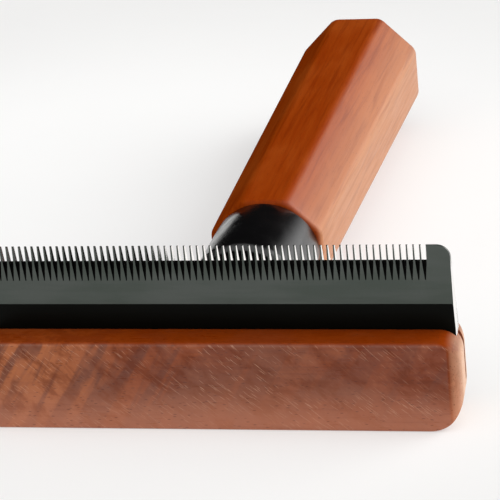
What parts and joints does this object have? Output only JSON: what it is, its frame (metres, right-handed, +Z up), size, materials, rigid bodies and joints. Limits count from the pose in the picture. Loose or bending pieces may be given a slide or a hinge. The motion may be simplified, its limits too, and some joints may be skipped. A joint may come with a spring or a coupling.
{
  "type": "deshedding comb",
  "caption": "T-shaped grooming comb: fine-tooth black steel comb standing in a rounded wooden head bar, with a black ferrule and an octagonal flared wooden handle.",
  "frame": {"origin": "middle of the footprint, on the surface that the comb lies on", "axes": "+X along the comb's edge, +Y from the head towards the handle's butt, +Z up, the way the teeth point"},
  "size_m": [0.0758, 0.135, 0.0283],
  "materials": {
    "oiled_wood": "oiled satin, reddish brown, fine pores and diagonal figure",
    "black_steel": "satin black coating, bare steel on the sides of the teeth",
    "black_gloss": "gloss black",
    "plain_steel": "fine brushed",
    "brass": "machined"
  },
  "bodies": {
    "root": {"head_bar": "oiled_wood", "comb_blade": "black_steel", "blade_holder": "black_steel", "neck_shank": "black_gloss", "ferrule": "black_gloss", "handle_grip": "oiled_wood", "handle_insert": "brass", "bar_screw_1": "plain_steel", "bar_screw_2": "plain_steel", "bar_screw_3": "plain_steel", "bar_screw_4": "plain_steel", "neck_screw_1": "plain_steel", "neck_screw_2": "plain_steel", "comb_rivet_1": "plain_steel", "comb_rivet_2": "plain_steel", "comb_rivet_3": "plain_steel", "comb_rivet_4": "plain_steel"}
  },
  "joints": []
}
